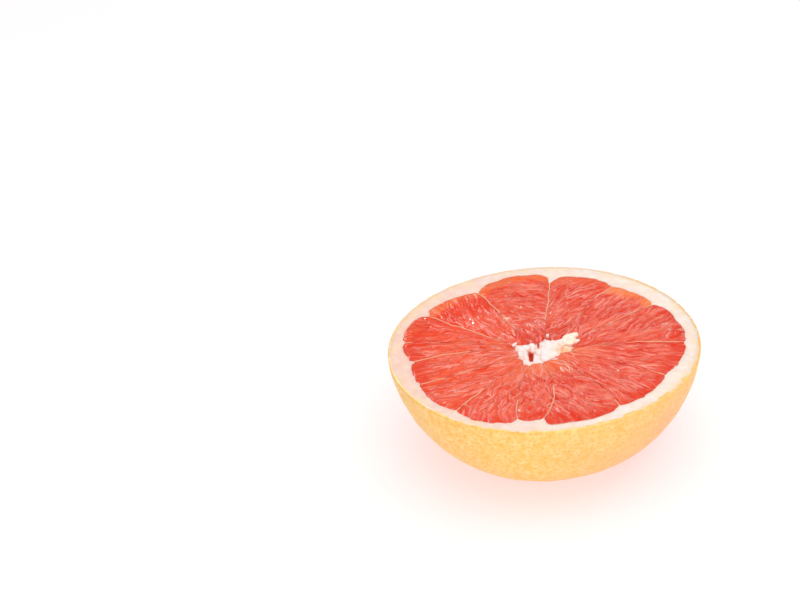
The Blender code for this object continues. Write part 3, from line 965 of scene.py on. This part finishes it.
def nearness(places, glands):
    """How near each place is to the middle of an oil gland, 1 at its middle."""
    tree = KDTree(len(glands))
    for number, gland in enumerate(glands):
        tree.insert(gland, number)
    tree.balance()
    far = np.array([tree.find(place)[2] for place in places])
    return np.exp(-(far / GLAND_RADIUS) ** 2)


def rind_mesh():
    """The rind's mesh before it is shaped: half a ball, with rings above it for its cut and inner side."""
    rows = RIM_ROWS + RIND_INNER_ROWS
    bm = bmesh.new()
    bmesh.ops.create_icosphere(bm, subdivisions=SKIN_SUBDIVISIONS, radius=1.0)
    bmesh.ops.bisect_plane(bm, geom=bm.verts[:] + bm.edges[:] + bm.faces[:], dist=0.00001,
                           plane_co=(0, 0, 0), plane_no=(0, 0, 1), clear_outer=True)
    inner = grow_rings(bm, boundary(bm), rows, (0, 0, 1))
    close_ring(bm, inner, (0, 0, rows + 1))
    bmesh.ops.reverse_faces(bm, faces=[face for face in bm.faces if face.calc_center_median().z > 0.01])
    mesh = bpy.data.meshes.new("rind")
    bm.to_mesh(mesh)
    bm.free()
    mesh.shade_smooth()
    return mesh


def make_rind(finish):
    """The coloured outer skin with its oil glands, its cut edge and its hidden inner side."""
    mesh = rind_mesh()
    spot = read_places(mesh)
    turn = np.arctan2(spot[:, 1], spot[:, 0])
    outside = spot[:, 2] < 0.01
    ring = np.rint(spot[:, 2]).astype(int)
    cut_share = np.clip(ring / RIM_ROWS, 0, 1)

    # The smooth skin, its cut edge and its inner side
    outline_radius, outline_height, area = skin_outline()
    share = np.clip(1 + spot[:, 2], 0, 1)
    inner_share = np.clip((ring - RIM_ROWS) / (RIND_INNER_ROWS + 1), 0, 1)
    narrow = narrowing(inner_share * math.pi / 2)
    inner_radius = (RIM_RADIUS - RIND_THICKNESS * cut_share) * narrow
    inner_height = CUT_HEIGHT - bowl_depth(narrow, CUT_HEIGHT - RIND_THICKNESS - DIMPLE_DEPTH * inner_share)
    radius = np.where(outside, np.interp(share, area, outline_radius), inner_radius)
    height = np.where(outside, np.interp(share, area, outline_height), inner_height)
    places = np.column_stack((radius * np.cos(turn), radius * np.sin(turn), height))

    # Dents at right angles to the skin: glands, unevenness, and a ragged blunt rim
    slope_radius = np.gradient(outline_radius)
    slope_height = np.gradient(outline_height)
    steep = np.hypot(slope_radius, slope_height)
    side = np.interp(share, area, slope_height / steep)
    down = np.interp(share, area, slope_radius / steep)
    pore = nearness(places, find_glands(outline_radius, outline_height, area))
    dent = GLAND_DEPTH * pore
    for deep, size, seed in SKIN_UNEVENNESS:
        dent += deep * (1 + soft_noise(places, size, seed))
    dent *= np.where(outside, smooth((radius - REST_RING_OUTER) / 0.004), 0.0)
    near_rim = smooth((height - (CUT_HEIGHT - RIM_BLUNT_HEIGHT)) / RIM_BLUNT_HEIGHT)
    ragged = RIM_BLUNT + RIM_RAGGED * np.clip(soft_noise(places, RIM_RAGGED_SIZE, 63), 0, 1)
    dent += np.where(outside, ragged * near_rim, 0.0)
    edge_drop = np.where(ring <= 1, ragged * (1 - cut_share * 0.5) * near_rim, 0.0)
    places[:, 0] -= dent * side * np.cos(turn)
    places[:, 1] -= dent * side * np.sin(turn)
    places[:, 2] += dent * down
    places[:, 2] -= edge_drop * np.where(outside, near_rim ** 4, 1.0)
    places[:, :2] *= roundness(places[:, 0], places[:, 1])[:, None]
    write_places(mesh, places)
    sharpen_corners(mesh)

    on_rim = flattened(RIM_RADIUS * np.cos(turn), RIM_RADIUS * np.sin(turn))
    tooth = smooth((soft_noise(on_rim, RIM_TOOTH_SIZE, 64) + 0.65) / 0.6) * smooth((1.1 - cut_share) / 0.6)
    far_side = smooth((np.sin(turn) + 0.45) / 0.5)
    from_skin = np.where(outside, 0.0, RIND_THICKNESS * cut_share)
    write_values(mesh, "pore", pore)
    write_values(mesh, "far_rim", np.where(outside, near_rim, tooth) * far_side)
    write_values(mesh, "yellow", yellow_edge(places[:, 0], places[:, 1], from_skin))
    return add_piece("rind", mesh, finish, "rind", "rind")


def start_material(name, roughness):
    """A new Principled material: its node tree and its shader."""
    material = bpy.data.materials.new(name)
    material.use_nodes = True
    shader = material.node_tree.nodes["Principled BSDF"]
    shader.inputs["Roughness"].default_value = roughness
    return material, material.node_tree, shader


def attribute(tree, name, output="Fac"):
    """Reads one of the values that were kept for each vertex."""
    node = tree.nodes.new("ShaderNodeAttribute")
    node.attribute_name = name
    return node.outputs[output]


def noise(tree, place, scale, detail=2.0):
    """Procedural noise at this scale."""
    node = tree.nodes.new("ShaderNodeTexNoise")
    node.inputs["Scale"].default_value = scale
    node.inputs["Detail"].default_value = detail
    tree.links.new(place, node.inputs["Vector"])
    return node.outputs["Fac"]


def stretched(tree, place, scale):
    """The same place, stretched by a different scale along each direction."""
    node = tree.nodes.new("ShaderNodeVectorMath")
    node.operation = "MULTIPLY"
    tree.links.new(place, node.inputs[0])
    node.inputs[1].default_value = scale
    return node.outputs[0]


def object_place(tree):
    """Coordinates fixed to the fruit."""
    return tree.nodes.new("ShaderNodeTexCoord").outputs["Object"]


def part_of(tree, place, axis):
    """One of a place's coordinates."""
    node = tree.nodes.new("ShaderNodeSeparateXYZ")
    tree.links.new(place, node.inputs[0])
    return node.outputs[axis]


def spread(tree, value, low, high, out_low=0.0, out_high=1.0):
    """Maps a value from low..high to out_low..out_high."""
    node = tree.nodes.new("ShaderNodeMapRange")
    tree.links.new(value, node.inputs["Value"])
    node.inputs["From Min"].default_value = low
    node.inputs["From Max"].default_value = high
    node.inputs["To Min"].default_value = out_low
    node.inputs["To Max"].default_value = out_high
    return node.outputs["Result"]


def combine(tree, operation, first, second):
    """One arithmetic step. Either side may be a plain number."""
    node = tree.nodes.new("ShaderNodeMath")
    node.operation = operation
    for socket, value in zip(node.inputs, (first, second)):
        if isinstance(value, (int, float)):
            socket.default_value = value
        else:
            tree.links.new(value, socket)
    return node.outputs[0]


def times(tree, first, second):
    """One value times the other."""
    return combine(tree, "MULTIPLY", first, second)


def blend_colours(tree, share, first, second):
    """Goes from the first colour to the second as share goes from 0 to 1."""
    node = tree.nodes.new("ShaderNodeMix")
    node.data_type = "RGBA"
    tree.links.new(share, node.inputs[0])
    for socket, value in ((node.inputs[6], first), (node.inputs[7], second)):
        if isinstance(value, tuple):
            socket.default_value = (*value, 1.0)
        else:
            tree.links.new(value, socket)
    return node.outputs[2]


def tinted(tree, colour, tints):
    """Lays tints over a colour one after the other, each with its share and its own colour."""
    for share, tint in tints:
        colour = blend_colours(tree, share, colour, tint)
    return colour


def add_bump(tree, shader, height, depth):
    """Fine roughness too small for the mesh."""
    node = tree.nodes.new("ShaderNodeBump")
    node.inputs["Distance"].default_value = depth
    tree.links.new(height, node.inputs["Height"])
    tree.links.new(node.outputs["Normal"], shader.inputs["Normal"])


def let_light_in(shader, weight, radius, scale):
    """How far light spreads inside the tissue."""
    shader.inputs["Subsurface Weight"].default_value = weight
    shader.inputs["Subsurface Radius"].default_value = radius
    shader.inputs["Subsurface Scale"].default_value = scale


def flesh_material():
    """Wet red flesh: deep red sacs with paler walls, painted highlight streaks and painted light and shade
    on their sides, and smooth saturated ends at the peel.
    """
    material, tree, shader = start_material("red flesh", 0.11)
    flow = attribute(tree, "flow", "Vector")
    smooth_end = attribute(tree, "smooth_end")
    orange_end = attribute(tree, "orange_end")
    core_tip_shade_and_orange = attribute(tree, "core_tip_shade_and_orange")
    place = object_place(tree)
    rightwards = part_of(tree, place, "X")
    strands = noise(tree, stretched(tree, flow, (0.22, 1.1, 1.0)), 1.0, 3.0)
    windows = noise(tree, stretched(tree, flow, (0.30, 0.90, 1.0)), 1.0, 2.0)
    clouds = noise(tree, place, 190.0, 3.0)
    broad = noise(tree, place, 80.0, 2.0)

    # Each sac's own tone with painted light and shade on its sides, the back left of the fruit, and the
    # pale walls, painted highlight streaks and strands of the sacs
    level = spread(tree, attribute(tree, "shade"), -1.0, 1.0, -0.15, 0.65)
    level = combine(tree, "ADD", level, spread(tree, clouds, 0.3, 0.7, 0.0, 0.5))
    back = spread(tree, part_of(tree, place, "Y"), 0.004, 0.013)
    back_left = times(tree, spread(tree, rightwards, -0.014, -0.032, 0.0, 0.55), back)
    # Pale sac walls, with the painted highlight streaks on the sacs' lit sides
    walls = times(tree, attribute(tree, "pale"), spread(tree, broad, 0.35, 0.65, 0.5, 1.1))
    strand = spread(tree, strands, 0.56, 0.72, 0.0, 0.65)
    strand = times(tree, strand, spread(tree, smooth_end, 0.0, 1.0, 1.0, 0.4))

    # Sacs from dark to pale, by their tone and by the painted light and shade on their sides
    body = blend_colours(tree, spread(tree, level, 0.0, 1.0), SAC_DARK_AND_SHADED, SAC_PALE_AND_LIT)
    body = tinted(tree, body, (
        (spread(tree, windows, 0.51, 0.58, 0.0, 0.75), CLEAR_SPOT),
        (spread(tree, core_tip_shade_and_orange, 0.0, 1.0, 0.0, 0.55), ORANGE_TIP),
        # Painted shade: darker tips at the core where the raised core shades them
        (spread(tree, core_tip_shade_and_orange, 0.0, -1.0, 0.0, 0.55), CORE_SHADOW_TIP),
        # Painted reflection: orange light reflected onto the left of the flesh
        (spread(tree, rightwards, 0.005, -0.030, 0.0, 0.35), LEFT_REFLECTED_ORANGE),
        (back_left, BACK_LEFT_RED),
        (times(tree, smooth_end, 0.66), SMOOTH_END_RED),
        (times(tree, orange_end, 0.85), END_ORANGE),
        (combine(tree, "MAXIMUM", walls, strand), SAC_WALL_AND_HIGHLIGHT_PINK),
    ))
    tree.links.new(body, shader.inputs["Base Color"])
    wet_spots = spread(tree, clouds, 0.42, 0.60, 0.22, 0.05)
    tree.links.new(wet_spots, shader.inputs["Roughness"])
    let_light_in(shader, 0.70, (1.0, 0.25, 0.15), 0.0014)
    shader.inputs["IOR"].default_value = 1.36
    shader.inputs["Specular IOR Level"].default_value = 0.18
    shader.inputs["Specular Tint"].default_value = (1.0, 0.75, 0.52, 1.0)
    add_bump(tree, shader, strands, 0.00025)
    return material


def pith_white(tree, place, lumps):
    """The pith's white, a little pinker on one side."""
    side = spread(tree, part_of(tree, place, "X"), -0.050, 0.020)
    patches = spread(tree, lumps, 0.3, 0.7)
    pink = blend_colours(tree, patches, *PINK_PITH)
    white = blend_colours(tree, patches, *WHITE_PITH)
    cream = spread(tree, noise(tree, place, 210.0, 3.0), 0.52, 0.72, 0.0, 0.45)
    return blend_colours(tree, cream, blend_colours(tree, side, pink, white), CREAM_STAIN)


def pith_material():
    """White spongy pith, yellow at the rind, creamy where it is loose, painted a warm shade in its creases,
    and red in a deep split.
    """
    material, tree, shader = start_material("white pith", 0.70)
    place = object_place(tree)
    hollow_and_shade = attribute(tree, "hollow_and_shade")
    grain = noise(tree, place, 900.0, 3.0)
    lumps = noise(tree, place, 330.0, 2.0)
    patches = noise(tree, place, 150.0, 3.0)

    # The core and its tufts, the ragged stain at the rind, loose strands, and the membranes
    tufts = spread(tree, part_of(tree, place, "X"), 0.0050, 0.0085)
    core_colour = blend_colours(tree, tufts, CORE_WHITE, TUFT_CREAM)
    reach = combine(tree, "ADD", attribute(tree, "from_rind"), spread(tree, patches, 0.35, 0.65, 2.2, -2.2))
    reach = combine(tree, "ADD", reach, spread(tree, grain, 0.3, 0.7, 0.8, -0.8))
    strands = spread(tree, lumps, 0.40, 0.56, 0.5, 1.0)
    membrane = blend_colours(tree, attribute(tree, "clear"), MEMBRANE_HIDDEN, MEMBRANE_CLEAR)

    colour = blend_colours(tree, attribute(tree, "core"), pith_white(tree, place, lumps), core_colour)
    colour = tinted(tree, colour, (
        (times(tree, attribute(tree, "flesh_tint"), 0.55), FLESH_STAIN),
        (spread(tree, reach, 1.2, 0.0, 0.0, 0.45), RIND_STAIN),
        (attribute(tree, "yellow"), RIND_EDGE),
        (times(tree, attribute(tree, "loose"), strands), LOOSE_ORANGE),
        (attribute(tree, "membrane"), membrane),
        # Painted warm shade in creases and on steep walls, then the red of the deep hollows
        (spread(tree, hollow_and_shade, 0.03, 0.25, 0.0, 0.6), WARM_CREASE_SHADE),
        (spread(tree, hollow_and_shade, 0.18, 0.6), HOLLOW_BOTTOM),
    ))
    tree.links.new(colour, shader.inputs["Base Color"])
    let_light_in(shader, 0.6, (1.0, 0.6, 0.45), 0.0015)
    add_bump(tree, shader, grain, 0.00015)
    return material


def rind_material():
    """Yellow-orange skin with darker oil glands and a blush on one side, paler where it is cut."""
    material, tree, shader = start_material("yellow rind", 0.45)
    place = object_place(tree)
    mottle = noise(tree, place, 420.0, 3.0)
    broad = noise(tree, place, 45.0, 2.0)
    fine = noise(tree, place, 1800.0, 2.0)
    blush = spread(tree, part_of(tree, place, "X"), -0.005, 0.042, 0.0, 0.85)
    blush = times(tree, blush, spread(tree, broad, 0.3, 0.7, 0.4, 1.0))
    below_rim = spread(tree, part_of(tree, place, "Z"), 0.037, 0.026, 0.45, 1.1)
    colour = blend_colours(tree, spread(tree, mottle, 0.3, 0.7), SKIN_YELLOW, SKIN_PALE)
    colour = tinted(tree, colour, (
        (times(tree, blush, below_rim), SKIN_BLUSH),
        (times(tree, attribute(tree, "pore"), 0.75), GLAND_ORANGE),
    ))
    colour = blend_colours(tree, attribute(tree, "yellow"), pith_white(tree, place, broad), colour)
    colour = blend_colours(tree, attribute(tree, "far_rim"), colour, FAR_RIM_ORANGE)
    tree.links.new(colour, shader.inputs["Base Color"])
    let_light_in(shader, 0.12, (1.0, 0.5, 0.2), 0.0012)
    add_bump(tree, shader, fine, 0.00008)
    return material


def set_camera():
    """Stands the camera where the photograph was taken from, with the same lens."""
    rise = math.radians(CAMERA_ELEVATION)
    roll = math.radians(CAMERA_ROLL)
    back = Vector((0, -math.cos(rise), math.sin(rise)))
    level_right = Vector((1, 0, 0))
    level_up = Vector((0, math.sin(rise), math.cos(rise)))
    right = level_right * math.cos(roll) - level_up * math.sin(roll)
    up = level_right * math.sin(roll) + level_up * math.cos(roll)
    towards_fruit = Matrix((right, up, back)).transposed()
    pixel = Vector((CUT_MIDDLE_PIXEL[0] - PICTURE_WIDTH / 2,
                    PICTURE_HEIGHT / 2 - CUT_MIDDLE_PIXEL[1],
                    -FOCAL_LENGTH_PIXELS))
    aside = pixel.rotation_difference(Vector((0, 0, -1))).to_matrix()
    camera_data = bpy.data.cameras.new("camera")
    camera_data.sensor_width = SENSOR_WIDTH
    camera_data.lens = FOCAL_LENGTH_PIXELS * SENSOR_WIDTH / PICTURE_WIDTH
    camera_data.clip_start = 0.05
    camera_data.clip_end = 20.0
    camera = bpy.data.objects.new("camera", camera_data)
    bpy.context.scene.collection.objects.link(camera)
    stand = Vector((0, 0, CUT_HEIGHT)) + back * CAMERA_DISTANCE
    camera.matrix_world = Matrix.Translation(stand) @ (towards_fruit @ aside).to_4x4()
    bpy.context.scene.camera = camera


def add_light(name, place, size, power, colour, only_glints=False):
    """A square softbox that faces the fruit. One that is only for glints is seen in reflections alone."""
    data = bpy.data.lights.new(name, "AREA")
    data.size = size
    data.energy = power
    data.color = colour
    light = bpy.data.objects.new(name, data)
    bpy.context.scene.collection.objects.link(light)
    light.location = place
    light.visible_diffuse = not only_glints
    light.rotation_mode = "QUATERNION"
    light.rotation_quaternion = (Vector(LIGHT_TARGET) - Vector(place)).to_track_quat("-Z", "Y")


def add_floor():
    """A plain pale floor, lifted a little by its own glow to the photograph's white."""
    mesh = bpy.data.meshes.new("floor")
    bm = bmesh.new()
    bmesh.ops.create_grid(bm, x_segments=1, y_segments=1, size=FLOOR_HALF_SIZE)
    bm.to_mesh(mesh)
    bm.free()
    floor = bpy.data.objects.new("floor", mesh)
    bpy.context.scene.collection.objects.link(floor)
    material, _, shader = start_material("pale floor", 0.9)
    shader.inputs["Base Color"].default_value = (0.52, 0.54, 0.50, 1.0)
    shader.inputs["Specular IOR Level"].default_value = 0.1
    shader.inputs["Emission Color"].default_value = (0.58, 0.45, 0.51, 1.0)
    shader.inputs["Emission Strength"].default_value = 1.0
    mesh.materials.append(material)


def set_stage():
    """The floor under soft studio light."""
    add_floor()
    world = bpy.data.worlds.new("studio")
    world.use_nodes = True
    sky = world.node_tree.nodes["Background"]
    sky.inputs["Color"].default_value = (1.0, 0.99, 1.0, 1.0)
    sky.inputs["Strength"].default_value = 0.60
    bpy.context.scene.world = world
    add_light("overhead", place=(0.15, -0.10, 1.1), size=1.2, power=7.8, colour=(1.0, 0.99, 0.97))
    add_light("front", place=(0.15, -1.2, 0.55), size=1.0, power=5.6, colour=(1.0, 0.99, 0.98))
    add_light("glint", place=(-0.35, 0.85, 0.75), size=0.10, power=6.0, colour=(1.0, 1.0, 1.0),
              only_glints=True)
    bpy.context.scene.view_settings.view_transform = "Standard"


flesh_finish = flesh_material()
pith_finish = pith_material()
rind_finish = rind_material()
for number in range(len(LOBES)):
    make_flesh(number, flesh_finish)
make_pith(pith_finish)
make_core(pith_finish)
make_rind(rind_finish)
set_stage()
set_camera()
